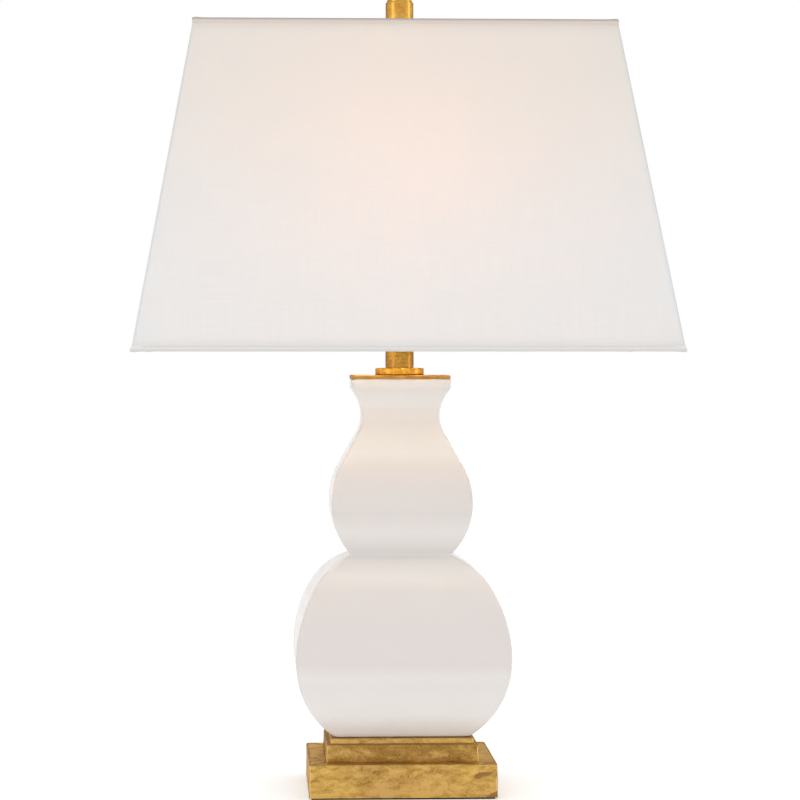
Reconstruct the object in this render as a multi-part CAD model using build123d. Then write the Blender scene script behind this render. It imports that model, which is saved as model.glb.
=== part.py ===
from build123d import *
import os
from math import cos, radians, sin, sqrt

# Gourd table lamp: a glazed double gourd of rectangular section on a stepped gilded plinth,
# with a brass neck, a harp, a tapered rectangular fabric shade and a brass finial.
# Millimetres, +Z up, +X to the right seen from the front, +Y to the back.
# The origin is the middle of the footprint, on the surface that the lamp stands on.

# Fits shared by many pieces
slip_fit = 0.1  # radial room of a piece that is clamped or cemented in place
running_fit = 0.1  # radial room around a shaft that turns or a wire that a sleeve slides on
seat_gap = 0.2  # room between a piece that moves and the face it rests on

# Plinth: a felt pad, a lower block and a stepped upper block
base_width = 158.8
base_depth = 127.0
felt_thickness = 1.5
felt_inset = 2.0
lower_block_height = 28.1
upper_block_setback = 14.4
upper_block_height = 14.6
upper_block_batter = 0.8  # how far each side leans in over the upper block's height
top_tier_setback = 3.6
top_tier_height = 5.1
plinth_edge_round = 1.2
recess_radius = 30.0
recess_ceiling = 10.0  # wood left above the recess in the lower block

# Threaded pipe that clamps the stack, and its hardware in the plinth
pipe_radius = 4.85
pipe_bore_radius = 3.2
pipe_tail = 2.5
nut_across_flats = 15.9
nut_height = 5.0
washer_radius = 19.0
washer_thickness = 2.0
lock_washer_radius = 8.0
lock_washer_thickness = 1.6
lock_washer_split = 1.5

# Cord inlet at the back of the plinth
inlet_height = 9.5  # of its axis above the felt
inlet_bore_radius = 3.2
bushing_wall = 1.5
bushing_length = 12.0
bushing_flange_radius = 7.0
bushing_flange_thickness = 2.0

# Gourd: full widths, and heights above its foot
foot_width = 114.2
belly_width = 180.4
shoulder_width = 156.0
waist_width = 85.5
upper_belly_width = 120.4
throat_width = 67.2
lip_width = 86.0
belly_height = 77.7
shoulder_height = 127.2
waist_height = 153.5
upper_belly_height = 198.7
throat_height = 272.2
lip_height = 295.7
gourd_height = 303.8
neck_slope = 28.5  # degrees from vertical, of the straight run between upper bulb and throat
neck_bulb_share = 0.67  # of the two radii at that run, the upper bulb's part
width_over_depth = 31.8  # the gourd's width less its depth, the same at every height
gourd_wall = 6.0
gourd_hole_radius = 9.0

# Brass neck
cap_plate_inset = 0.6
cap_plate_thickness = 3.1
cap_plate_corner = 2.0
cap_plate_edge = 0.8
neck_ring_radius = 21.0
neck_ring_height = 6.1
neck_ring_edge = 1.2
neck_tube_radius = 12.2
neck_tube_length = 45.7
neck_tube_wall = 1.5
neck_tube_top = 2.5

# Harp: a saddle under the socket, a bent wire and two sliding sleeves
saddle_thickness = 1.6
saddle_depth = 14.0
saddle_end = 5.5  # of the saddle beyond each foot's axis
harp_foot_spacing = 56.0
harp_post_radius = 3.5
harp_post_height = 16.4
harp_post_socket = 12.2
harp_wire_radius = 2.0
harp_spacing = 100.0  # between the axes of the two legs
harp_height = 230.0  # from the saddle to the seat of the shade
harp_foot_straight = 52.0
harp_shoulder = 82.0
harp_foot_bend = 30.0
harp_top_bend = 42.0
stud_boss_radius = 6.5
stud_boss_height = 8.0
stud_radius = 3.1
stud_reach = 18.0
sleeve_radius = 5.0
sleeve_skirt = 9.0  # the part of a sleeve that covers the foot's post
sleeve_grip = 9.0  # the part of a sleeve that runs on the wire

# Lamp socket, with heights above the saddle
socket_hub_radius = 9.5
socket_hub_height = 7.0
socket_floor = 1.5
socket_cap_shoulder = 13.5
socket_cap_rim = 5.5
socket_cap_wall = 1.0
pipe_in_hub = 6.5
set_screw_radius = 1.5
set_screw_proud = 1.2
socket_shell_radius = 16.5
socket_shell_wall = 0.8
socket_height = 58.0
liner_wall = 0.6
liner_setback = 1.0
block_height = 19.0
terminal_flat = 11.5
terminal_height = 9.0
terminal_relief = 7.0
terminal_head_radius = 3.0
terminal_head_height = 2.0
terminal_shank_radius = 1.7
terminal_shank_length = 4.0
screw_shell_radius = 14.1
screw_shell_floor = 0.8
screw_shell_height = 22.0
screw_shell_hole = 7.0
contact_radius = 3.5
contact_height = 2.3
thread_pitch = 3.6
thread_turns = 4
thread_start = 7.5  # above the top of the block
thread_crest_radius = 13.0
thread_depth = 0.7
thread_room = 0.3

# Switch: a shaft and a knob that turn in the socket
switch_height = 11.0  # of its axis above the bottom of the block
switch_shaft_radius = 2.0
switch_shaft_reach = 26.0
switch_shaft_seat = 3.0
switch_hole_radius = 4.0
switch_knob_radius = 7.0
switch_knob_length = 11.0
switch_knob_gap = 2.5
switch_knob_grip = 8.5
switch_knob_flutes = 12
switch_flute_radius = 0.8
switch_knob_edge = 0.8

# Bulb, with heights above its tip
bulb_contact_radius = 4.0
bulb_contact_height = 1.8
bulb_insulator_height = 3.4
bulb_cap_height = 22.0
bulb_cap_wall = 0.5
bulb_neck_radius = 11.6
bulb_neck_depth = 11.0  # of the glass inside the cap
bulb_neck_height = 27.0
bulb_globe_radius = 30.0
bulb_globe_height = 79.5
bulb_turn_share = 0.5
bulb_glass_wall = 0.8
stem_radius = 3.0
stem_height = 58.0
lead_radius = 0.5
lead_spacing = 16.0
lead_start = 48.0
lead_height = 76.0
filament_radius = 0.3

# Shade: four mitred panels between two rolled hems, on a wire frame with a cross of four arms
shade_bottom_width = 449.6
shade_top_width = 351.0
shade_bottom_depth = 297.6
shade_height = 275.2
panel_thickness = 1.2
hem_radius = 1.8
hem_corner = 3.0
hem_gap = 0.1
shade_wire_radius = 1.0
rib_radius = 1.0
spider_recess = 12.0
spider_hub_radius = 15.0
spider_hub_thickness = 3.0
spider_arm_radius = 2.0

# Finial
finial_radius = 12.0
finial_height = 37.0
finial_step_radius = 10.8
finial_step_height = 2.2
finial_edge = 0.8
finial_bore_room = 2.0

# Levels of the stack, from the surface up
lower_block_top = felt_thickness + lower_block_height
upper_block_top = lower_block_top + upper_block_height
plinth_top = upper_block_top + top_tier_height
gourd_top = plinth_top + gourd_height
cap_plate_top = gourd_top + cap_plate_thickness
neck_ring_top = cap_plate_top + neck_ring_height
neck_tube_end = neck_ring_top + neck_tube_length
saddle_top = neck_tube_end + saddle_thickness
recess_top = lower_block_top - recess_ceiling
washer_bottom = recess_top - washer_thickness
lock_washer_bottom = washer_bottom - lock_washer_thickness
base_nut_bottom = lock_washer_bottom - nut_height
pipe_bottom = base_nut_bottom - pipe_tail
pipe_top = saddle_top + pipe_in_hub
pipe_hole_radius = pipe_radius + slip_fit
inlet_axis = felt_thickness + inlet_height
bushing_radius = inlet_bore_radius + bushing_wall
harp_seat = saddle_top + harp_height
hub_bottom = harp_seat + seat_gap
hub_top = hub_bottom + spider_hub_thickness
shade_top = hub_bottom + spider_recess
shade_bottom = shade_top - shade_height
finial_bottom = hub_top + seat_gap
shell_bottom = saddle_top + socket_cap_shoulder + slip_fit
shell_top = saddle_top + socket_height
block_bottom = shell_bottom + slip_fit
block_top = block_bottom + block_height
contact_top = block_top + contact_height
bulb_tip = contact_top + seat_gap
switch_axis = block_bottom + switch_height

bottom_up = (Align.CENTER, Align.CENTER, Align.MIN)


def disc(radius, height, z):
    return Pos(0, 0, z) * Cylinder(radius, height, align=bottom_up)


def ring(outer_radius, inner_radius, height, z):
    return disc(outer_radius, height, z) - disc(inner_radius, height, z)


def slab(width, depth, height, z):
    return Pos(0, 0, z) * Box(width, depth, height, align=bottom_up)


def rod(start, end, radius):
    axis = Vector(end) - Vector(start)
    return Plane(origin=start, z_dir=axis) * Cylinder(radius, axis.length, align=bottom_up)


def turned(outline):
    # A solid of revolution about the lamp's axis, from a closed outline of radius and height.
    return revolve(Plane.XZ * make_face(outline.edges()), axis=Axis.Z)


def hex_nut(z):
    hexagon = RegularPolygon(nut_across_flats / 2, 6, major_radius=False)
    return Pos(0, 0, z) * extrude(hexagon, nut_height) - disc(pipe_hole_radius, nut_height, z)


def softened(block, radius):
    # Rounds every edge of a block except those around its underside.
    underside = block.faces().sort_by(Axis.Z)[0]
    flat_edges = [edge.center() for edge in underside.edges()]
    edges = [
        edge for edge in block.edges()
        if all((edge.center() - middle).length > radius for middle in flat_edges)
    ]
    return fillet(edges, radius)


# Plinth

def felt_pad():
    pad = slab(base_width - 2 * felt_inset, base_depth - 2 * felt_inset, felt_thickness, 0)
    return fillet(pad.edges().filter_by(Axis.Z), felt_inset)


def plinth_lower_block():
    block = softened(slab(base_width, base_depth, lower_block_height, felt_thickness), plinth_edge_round)
    recess = disc(recess_radius, recess_top - felt_thickness, felt_thickness)
    pipe_hole = disc(pipe_hole_radius, recess_ceiling, recess_top)
    channel = rod((0, 0, inlet_axis), (0, base_depth / 2, inlet_axis), bushing_radius + slip_fit)
    return block - recess - pipe_hole - channel


def plinth_upper_block():
    width = base_width - 2 * upper_block_setback
    depth = base_depth - 2 * upper_block_setback
    head_width = width - 2 * upper_block_batter
    head_depth = depth - 2 * upper_block_batter
    foot = Pos(0, 0, lower_block_top) * Rectangle(width, depth)
    head = Pos(0, 0, upper_block_top) * Rectangle(head_width, head_depth)
    block = softened(loft([foot, head], ruled=True), plinth_edge_round)
    tier_width = head_width - 2 * top_tier_setback
    tier_depth = head_depth - 2 * top_tier_setback
    tier = slab(tier_width, tier_depth, top_tier_height, upper_block_top)
    pipe_hole = disc(pipe_hole_radius, plinth_top - lower_block_top, lower_block_top)
    return block + softened(tier, plinth_edge_round) - pipe_hole


def cord_bushing():
    back = base_depth / 2
    barrel = rod((0, back - bushing_length, inlet_axis), (0, back, inlet_axis), bushing_radius)
    flange_end = back + bushing_flange_thickness
    flange = rod((0, back, inlet_axis), (0, flange_end, inlet_axis), bushing_flange_radius)
    bore = rod((0, back - bushing_length, inlet_axis), (0, flange_end, inlet_axis), inlet_bore_radius)
    return barrel + flange - bore


def base_washer():
    return ring(washer_radius, pipe_hole_radius, washer_thickness, washer_bottom)


def base_lock_washer():
    washer = ring(lock_washer_radius, pipe_hole_radius, lock_washer_thickness, lock_washer_bottom)
    split = slab(lock_washer_radius, lock_washer_split, lock_washer_thickness, lock_washer_bottom)
    return washer - Pos(lock_washer_radius / 2, 0, 0) * split


def base_nut():
    return hex_nut(base_nut_bottom)


def lamp_pipe():
    return ring(pipe_radius, pipe_bore_radius, pipe_top - pipe_bottom, pipe_bottom)


# Gourd

def gourd_outline(narrowing, inset):
    # The front of the gourd, or its side when narrowed: X is half the width, Y the height above the foot.
    # With an inset it is the hollow inside a wall of that thickness.
    def point(width, height):
        return Vector((width - narrowing) / 2 - inset, height)

    foot = point(foot_width, inset)
    belly = point(belly_width, belly_height)
    waist = point(waist_width, waist_height)
    upper_belly = point(upper_belly_width, upper_belly_height)
    throat = point(throat_width, throat_height)
    lip = point(lip_width, lip_height)
    rim = point(lip_width, gourd_height - inset)

    # The shoulder leans, so its inset is square to the flank and not level.
    level_shoulder = point(shoulder_width, shoulder_height)
    lean = TangentArc(belly, level_shoulder, tangent=(0, 1)) % 1
    shoulder = level_shoulder + Vector(inset, 0) - Vector(lean.Y, -lean.X) * inset

    # Two arcs, upright at the upper belly and at the throat, are joined by a straight run at the
    # neck's slope.
    rise = sin(radians(neck_slope))
    shift = 1 - cos(radians(neck_slope))
    climb = throat - upper_belly
    both_radii = (climb.Y * rise + climb.X * (1 - shift)) / shift
    bulb_radius = both_radii * neck_bulb_share - inset
    run_start = upper_belly + Vector(-shift, rise) * bulb_radius
    run_end = throat + Vector(shift, -rise) * (both_radii - bulb_radius)

    flank = TangentArc(belly, shoulder, tangent=(0, 1))
    right_side = Curve() + [
        TangentArc(belly, foot, tangent=(0, -1)),
        flank,
        TangentArc(shoulder, waist, tangent=flank % 1),
        TangentArc(upper_belly, waist, tangent=(0, -1)),
        TangentArc(upper_belly, run_start, tangent=(0, 1)),
        Line(run_start, run_end),
        TangentArc(throat, run_end, tangent=(0, -1)),
        TangentArc(throat, lip, tangent=(0, 1)),
        Line(lip, rim),
    ]
    foot_line = Line(foot, (-foot.X, foot.Y))
    rim_line = Line(rim, (-rim.X, rim.Y))
    whole = right_side + mirror(right_side, about=Plane.YZ) + [foot_line, rim_line]
    return make_face(whole.edges())


def crossed(front, side):
    # What lies inside both outlines: each level is a rectangle, and the four faces meet at mitred corners.
    from_front = extrude(Plane.XZ * front, amount=belly_width, both=True)
    from_side = extrude(Plane.YZ * side, amount=belly_width, both=True)
    return Pos(0, 0, plinth_top) * (from_front & from_side)


def gourd_body():
    outside = crossed(gourd_outline(0, 0), gourd_outline(width_over_depth, 0))
    hollow = crossed(gourd_outline(0, gourd_wall), gourd_outline(width_over_depth, gourd_wall))
    return outside - hollow - disc(gourd_hole_radius, gourd_height, plinth_top)


# Brass neck

def neck_cap_plate():
    width = lip_width - 2 * cap_plate_inset
    plate = slab(width, width - width_over_depth, cap_plate_thickness, gourd_top)
    plate = fillet(plate.edges().filter_by(Axis.Z), cap_plate_corner)
    plate = fillet(plate.faces().sort_by(Axis.Z)[-1].edges(), cap_plate_edge)
    return plate - disc(pipe_hole_radius, cap_plate_thickness, gourd_top)


def neck_ring():
    body = disc(neck_ring_radius, neck_ring_height, cap_plate_top)
    body = fillet(body.edges(), neck_ring_edge)
    return body - disc(pipe_hole_radius, neck_ring_height, cap_plate_top)


def neck_nut():
    return hex_nut(neck_ring_top)


def neck_tube():
    tube = disc(neck_tube_radius, neck_tube_length, neck_ring_top)
    inside = disc(neck_tube_radius - neck_tube_wall, neck_tube_length - neck_tube_top, neck_ring_top)
    return tube - inside - disc(pipe_hole_radius, neck_tube_length, neck_ring_top)


# Harp

def harp_saddle():
    strip = SlotOverall(harp_foot_spacing + 2 * saddle_end, saddle_depth)
    saddle = Pos(0, 0, neck_tube_end) * extrude(strip, saddle_thickness)
    for side in (-1, 1):
        foot = Pos(side * harp_foot_spacing / 2, 0, 0)
        saddle += foot * disc(harp_post_radius, harp_post_height, saddle_top)
        socket_bottom = saddle_top + harp_post_height - harp_post_socket
        saddle -= foot * disc(harp_wire_radius + slip_fit, harp_post_socket, socket_bottom)
    return saddle - disc(pipe_hole_radius, saddle_thickness, neck_tube_end)


def harp_wire():
    foot_x = harp_foot_spacing / 2
    leg_x = harp_spacing / 2
    foot_z = saddle_top + harp_post_height - harp_post_socket + slip_fit
    top_z = harp_seat - stud_boss_height / 2
    right_leg = [
        (foot_x, 0, foot_z),
        (foot_x, 0, saddle_top + harp_foot_straight),
        (leg_x, 0, saddle_top + harp_shoulder),
        (leg_x, 0, top_z),
    ]
    left_leg = [(-x, y, z) for x, y, z in reversed(right_leg)]
    bends = [harp_foot_bend, harp_foot_bend, harp_top_bend, harp_top_bend, harp_foot_bend, harp_foot_bend]
    path = FilletPolyline(right_leg + left_leg, radius=bends)
    return sweep(Plane(origin=right_leg[0]) * Circle(harp_wire_radius), path=path)


def harp_stud():
    boss_bottom = harp_seat - stud_boss_height
    boss = disc(stud_boss_radius, stud_boss_height, boss_bottom)
    wire_z = harp_seat - stud_boss_height / 2
    wire_way = rod(
        (-stud_boss_radius, 0, wire_z), (stud_boss_radius, 0, wire_z), harp_wire_radius + slip_fit / 2
    )
    stud = disc(stud_radius, finial_bottom + stud_reach - harp_seat, harp_seat)
    return boss - wire_way + stud


def harp_sleeve(side):
    shoulder = saddle_top + harp_post_height + seat_gap
    sleeve = disc(sleeve_radius, sleeve_skirt + sleeve_grip, shoulder - sleeve_skirt)
    post_way = disc(harp_post_radius + running_fit, sleeve_skirt, shoulder - sleeve_skirt)
    wire_way = disc(harp_wire_radius + running_fit, sleeve_grip, shoulder)
    return Pos(side * harp_foot_spacing / 2, 0, 0) * (sleeve - post_way - wire_way)


def harp_sleeve_left():
    return harp_sleeve(-1)


def harp_sleeve_right():
    return harp_sleeve(1)


# Socket

def socket_cap():
    inner_radius = socket_shell_radius + slip_fit
    outer_radius = inner_radius + socket_cap_wall
    hub_top_z = saddle_top + socket_hub_height
    floor_z = hub_top_z + socket_floor
    shoulder_z = saddle_top + socket_cap_shoulder
    rim_z = shoulder_z + socket_cap_rim
    bowl_outside = TangentArc((outer_radius, shoulder_z), (socket_hub_radius, hub_top_z), tangent=(0, -1))
    bowl_inside = TangentArc((inner_radius, shoulder_z), (socket_hub_radius, floor_z), tangent=(0, -1))
    outline = Curve() + [
        Polyline((pipe_hole_radius, floor_z), (pipe_hole_radius, saddle_top),
                 (socket_hub_radius, saddle_top), (socket_hub_radius, hub_top_z)),
        bowl_outside,
        Polyline((outer_radius, shoulder_z), (outer_radius, rim_z), (inner_radius, rim_z),
                 (inner_radius, shoulder_z)),
        bowl_inside,
        Line((socket_hub_radius, floor_z), (pipe_hole_radius, floor_z)),
    ]
    screw_z = saddle_top + socket_hub_height / 2
    screw_way = rod((0, 0, screw_z), (0, socket_hub_radius, screw_z), set_screw_radius + slip_fit)
    return turned(outline) - screw_way


def socket_set_screw():
    screw_z = saddle_top + socket_hub_height / 2
    return rod(
        (0, pipe_hole_radius, screw_z), (0, socket_hub_radius + set_screw_proud, screw_z), set_screw_radius
    )


def switch_way():
    # The way through the front of the shell and its liner for the switch shaft.
    return rod((0, 0, switch_axis), (0, -2 * socket_shell_radius, switch_axis), switch_hole_radius)


def socket_shell():
    inner_radius = socket_shell_radius - socket_shell_wall
    return ring(socket_shell_radius, inner_radius, shell_top - shell_bottom, shell_bottom) - switch_way()


def socket_liner():
    outer_radius = socket_shell_radius - socket_shell_wall - slip_fit
    height = shell_top - liner_setback - block_bottom
    return ring(outer_radius, outer_radius - liner_wall, height, block_bottom) - switch_way()


def at_terminals(piece):
    # One copy on each side of the block, the left one turned half round.
    return [piece, Rot(0, 0, 180) * piece]


def socket_block():
    radius = socket_shell_radius - socket_shell_wall - liner_wall - 2 * slip_fit
    block = disc(radius, block_height, block_bottom)
    terminal_z = block_bottom + terminal_height
    relief = Pos(terminal_flat, 0, terminal_z) * Box(
        radius, 2 * radius, 2 * terminal_relief, align=(Align.MIN, Align.CENTER, Align.CENTER)
    )
    shank_start = (terminal_flat - terminal_shank_length, 0, terminal_z)
    shank_way = rod(shank_start, (terminal_flat, 0, terminal_z), terminal_shank_radius + slip_fit)
    shaft_start = (0, -switch_shaft_seat, switch_axis)
    shaft_way = rod(shaft_start, (0, -radius, switch_axis), switch_shaft_radius + running_fit)
    for cut in at_terminals(relief) + at_terminals(shank_way):
        block -= cut
    return block - shaft_way


def terminal_screws():
    terminal_z = block_bottom + terminal_height
    head_end = terminal_flat + terminal_head_height
    head = rod((terminal_flat, 0, terminal_z), (head_end, 0, terminal_z), terminal_head_radius)
    shank_start = (terminal_flat - terminal_shank_length, 0, terminal_z)
    screw = head + rod(shank_start, (terminal_flat, 0, terminal_z), terminal_shank_radius)
    return Compound(children=[part.solid() for part in at_terminals(screw)])


def thread_ridges(start_z, room):
    # Rounded rings at the pitch of the screw, from the root at start_z upwards.
    crest = thread_crest_radius + room
    root = crest - thread_depth
    ridges = []
    for turn in range(thread_turns):
        low = start_z + turn * thread_pitch
        middle = (crest, low + thread_pitch / 2)
        ridges.append(ThreePointArc((root, low), middle, (root, low + thread_pitch)))
    return ridges, root, start_z + thread_turns * thread_pitch


def socket_screw_shell():
    ridges, root, ridges_end = thread_ridges(block_top + thread_start, thread_room)
    top = block_top + screw_shell_height
    floor = block_top + screw_shell_floor
    outline = Curve() + ridges + [
        Polyline((root, ridges_end), (root, top), (screw_shell_radius, top),
                 (screw_shell_radius, block_top), (screw_shell_hole, block_top),
                 (screw_shell_hole, floor), (root, floor), (root, block_top + thread_start)),
    ]
    return turned(outline)


def socket_contact():
    return disc(contact_radius, contact_height, block_top)


# Switch

def switch_shaft():
    start = (0, -switch_shaft_seat - seat_gap, switch_axis)
    return rod(start, (0, -switch_shaft_reach, switch_axis), switch_shaft_radius)


def switch_knob():
    inner_end = -socket_shell_radius - switch_knob_gap
    outer_end = inner_end - switch_knob_length
    flute_start = outer_end + switch_knob_grip
    knob = rod((0, inner_end, switch_axis), (0, outer_end, switch_axis), switch_knob_radius)
    knob = fillet(knob.edges(), switch_knob_edge)
    for turn in range(switch_knob_flutes):
        angle = radians(turn * 360 / switch_knob_flutes)
        x = switch_knob_radius * cos(angle)
        z = switch_axis + switch_knob_radius * sin(angle)
        knob -= rod((x, flute_start, z), (x, outer_end, z), switch_flute_radius)
    shaft_end = (0, -switch_shaft_reach, switch_axis)
    return knob - rod((0, inner_end, switch_axis), shaft_end, switch_shaft_radius + slip_fit)


# Bulb

def bulb_contact():
    return disc(bulb_contact_radius, bulb_contact_height, bulb_tip)


def bulb_insulator():
    foot = bulb_tip + bulb_contact_height
    top = foot + bulb_insulator_height
    cap_root = thread_crest_radius - thread_depth
    top_radius = cap_root - bulb_cap_wall
    outline = Polyline((0, foot), (bulb_contact_radius, foot), (top_radius, top), (0, top), close=True)
    return turned(outline)


def bulb_cap():
    insulator_top = bulb_tip + bulb_contact_height + bulb_insulator_height
    ridges, root, ridges_end = thread_ridges(block_top + thread_start, 0)
    inner = root - bulb_cap_wall
    bottom = insulator_top + slip_fit
    top = insulator_top + bulb_cap_height
    outline = Curve() + ridges + [
        Polyline((root, ridges_end), (root, top), (inner, top), (inner, bottom), (root, bottom),
                 (root, block_top + thread_start)),
    ]
    return turned(outline)


def glass_outline(inset):
    # Half of the bulb's envelope: an open neck, a swelling of two arcs and a round top.
    neck_radius = bulb_neck_radius - inset
    globe_radius = bulb_globe_radius - inset
    neck = Vector(neck_radius, bulb_tip + bulb_neck_height)
    globe = Vector(globe_radius, bulb_tip + bulb_globe_height)
    turn = globe + (neck - globe) * bulb_turn_share
    bottom_z = neck.Y - bulb_neck_depth
    crown = Vector(0, globe.Y + globe_radius)
    return Curve() + [
        TangentArc(globe, crown, tangent=(0, 1)),
        TangentArc(globe, turn, tangent=(0, -1)),
        TangentArc(neck, turn, tangent=(0, 1)),
        Polyline(neck, (neck_radius, bottom_z), (0, bottom_z), crown),
    ]


def bulb_glass():
    return turned(glass_outline(0)) - turned(glass_outline(bulb_glass_wall))


def bulb_stem():
    flare_z = bulb_tip + bulb_neck_height - bulb_neck_depth
    flare_radius = bulb_neck_radius - bulb_glass_wall - slip_fit
    flare = Cone(flare_radius, stem_radius, bulb_neck_depth, align=bottom_up)
    return Pos(0, 0, flare_z) * flare + disc(stem_radius, bulb_tip + stem_height - flare_z, flare_z)


def bulb_leads():
    leads = []
    for side in (-1, 1):
        start = (side * (stem_radius + lead_radius + slip_fit), 0, bulb_tip + lead_start)
        leads.append(rod(start, (side * lead_spacing / 2, 0, bulb_tip + lead_height), lead_radius).solid())
    return Compound(children=leads)


def bulb_filament():
    height = bulb_tip + lead_height + lead_radius + filament_radius
    reach = lead_spacing / 2
    return rod((-reach, 0, height), (reach, 0, height), filament_radius)


# Shade

shade_slope = (shade_bottom_width - shade_top_width) / 2 / shade_height
panel_across = panel_thickness * sqrt(1 + shade_slope ** 2)
hem_pitch = 2 * hem_radius + hem_gap


def shade_half(size, z):
    # Half of the shade's outer width or depth at a level, from its size at the bottom.
    return size / 2 - shade_slope * (z - shade_bottom)


def panel_section(long_size, cross_size, z):
    long_half = shade_half(long_size, z)
    cross_half = shade_half(cross_size, z)
    inner_long = long_half - panel_across
    inner_cross = cross_half - panel_across
    return make_face(Polyline(
        (-long_half, -cross_half, z), (long_half, -cross_half, z), (inner_long, -inner_cross, z),
        (-inner_long, -inner_cross, z), close=True,
    ).edges())


def shade_panel(long_size, cross_size):
    low = panel_section(long_size, cross_size, shade_bottom + hem_pitch)
    high = panel_section(long_size, cross_size, shade_top - hem_pitch)
    return loft([low, high], ruled=True)


def shade_panel_front():
    return shade_panel(shade_bottom_width, shade_bottom_depth)


def shade_panel_back():
    return Rot(0, 0, 180) * shade_panel_front()


def shade_panel_right():
    return Rot(0, 0, 90) * shade_panel(shade_bottom_depth, shade_bottom_width)


def shade_panel_left():
    return Rot(0, 0, 180) * shade_panel_right()


def hem_axis(size, z):
    # The rolled hems and their wires run along the middle of the panels' thickness.
    return shade_half(size, z) - panel_across / 2


def hem_tube(z, radius):
    half_x = hem_axis(shade_bottom_width, z)
    half_y = hem_axis(shade_bottom_depth, z)
    start = (0, -half_y, z)
    corners = [(half_x, -half_y, z), (half_x, half_y, z), (-half_x, half_y, z), (-half_x, -half_y, z)]
    path = FilletPolyline([start] + corners + [start], radius=[0] + [hem_corner] * len(corners))
    return sweep(Plane(origin=start, z_dir=(1, 0, 0)) * Circle(radius), path=path)


def shade_hem(z):
    return hem_tube(z, hem_radius) - hem_tube(z, shade_wire_radius + hem_gap / 2)


def shade_bottom_hem():
    return shade_hem(shade_bottom + hem_radius)


def shade_bottom_wire():
    return hem_tube(shade_bottom + hem_radius, shade_wire_radius)


def shade_top_hem():
    return shade_hem(shade_top - hem_radius)


def shade_top_wire():
    return hem_tube(shade_top - hem_radius, shade_wire_radius)


def shade_corner_ribs():
    inward = panel_across + rib_radius * sqrt(1 + shade_slope ** 2) + slip_fit
    ribs = []
    for x_side in (-1, 1):
        for y_side in (-1, 1):
            low, high = [
                (
                    x_side * (shade_half(shade_bottom_width, z) - inward),
                    y_side * (shade_half(shade_bottom_depth, z) - inward),
                    z,
                )
                for z in (shade_bottom + hem_pitch + rib_radius, shade_top - hem_pitch - rib_radius)
            ]
            ribs.append(rod(low, high, rib_radius).solid())
    return Compound(children=ribs)


def shade_spider_hub():
    return ring(spider_hub_radius, stud_radius + running_fit, spider_hub_thickness, hub_bottom)


def spider_arm(size):
    # One arm along +X, from the hub's rim up to the top hem, with upright ends.
    hem_z = shade_top - hem_radius
    start = Vector(spider_hub_radius + slip_fit, 0, (hub_bottom + hub_top) / 2)
    end = Vector(hem_axis(size, hem_z) - hem_radius - slip_fit, 0, hem_z)
    run = end - start
    section = Plane(origin=start, z_dir=(1, 0, 0)) * Circle(spider_arm_radius)
    return extrude(section, amount=run.length, dir=run)


def shade_spider_arms():
    long_arm = spider_arm(shade_bottom_width)
    short_arm = spider_arm(shade_bottom_depth)
    arms = [long_arm, Rot(0, 0, 90) * short_arm, Rot(0, 0, 180) * long_arm, Rot(0, 0, 270) * short_arm]
    return Compound(children=[arm.solid() for arm in arms])


# Finial

def finial():
    barrel_height = finial_height - finial_step_height
    barrel = disc(finial_radius, barrel_height, finial_bottom)
    barrel = fillet(barrel.edges(), finial_edge)
    step = disc(finial_step_radius, finial_step_height, finial_bottom + barrel_height)
    step = fillet(step.faces().sort_by(Axis.Z)[-1].edges(), finial_edge)
    return barrel + step - disc(stud_radius + running_fit, stud_reach + finial_bore_room, finial_bottom)


pieces = [
    felt_pad, plinth_lower_block, plinth_upper_block, cord_bushing, base_washer, base_lock_washer, base_nut,
    lamp_pipe, gourd_body, neck_cap_plate, neck_ring, neck_nut, neck_tube,
    harp_saddle, harp_wire, harp_stud, harp_sleeve_left, harp_sleeve_right,
    socket_cap, socket_set_screw, socket_shell, socket_liner, socket_block, terminal_screws,
    socket_screw_shell, socket_contact, switch_shaft, switch_knob,
    bulb_contact, bulb_insulator, bulb_cap, bulb_glass, bulb_stem, bulb_leads, bulb_filament,
    shade_panel_front, shade_panel_back, shade_panel_left, shade_panel_right, shade_top_hem, shade_top_wire,
    shade_bottom_hem, shade_bottom_wire, shade_corner_ribs, shade_spider_hub, shade_spider_arms,
    finial,
]


os.makedirs("parts", exist_ok=True)
for piece in pieces:
    export_step(piece(), f"parts/{piece.__name__}.step")
    print(piece.__name__)
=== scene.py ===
import cmath
import math

import bpy
from mathutils import Matrix, Vector, noise


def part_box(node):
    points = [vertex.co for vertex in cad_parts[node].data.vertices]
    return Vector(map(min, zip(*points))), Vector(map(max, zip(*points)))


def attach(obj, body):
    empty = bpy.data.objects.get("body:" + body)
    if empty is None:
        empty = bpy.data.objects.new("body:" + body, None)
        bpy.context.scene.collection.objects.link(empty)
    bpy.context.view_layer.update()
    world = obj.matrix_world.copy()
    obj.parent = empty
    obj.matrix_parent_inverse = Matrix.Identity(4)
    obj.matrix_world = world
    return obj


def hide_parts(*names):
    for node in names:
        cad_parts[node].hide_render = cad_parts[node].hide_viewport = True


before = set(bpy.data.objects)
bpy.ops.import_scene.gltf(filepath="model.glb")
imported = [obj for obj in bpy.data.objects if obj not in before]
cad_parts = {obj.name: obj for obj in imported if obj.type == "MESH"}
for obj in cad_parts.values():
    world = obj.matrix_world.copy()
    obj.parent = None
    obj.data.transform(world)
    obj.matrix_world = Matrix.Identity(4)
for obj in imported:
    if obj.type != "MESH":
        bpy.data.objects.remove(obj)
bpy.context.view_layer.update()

scene = bpy.context.scene
mm = 0.001
print("frame: CAD model loaded")


# Small helpers

def linear(hexColour):
    # sRGB hex to the linear colour that shaders take
    shares = [int(hexColour[start:start + 2], 16) / 255 for start in (1, 3, 5)]
    return [s / 12.92 if s <= 0.04045 else ((s + 0.055) / 1.055) ** 2.4 for s in shares] + [1.0]


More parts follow.
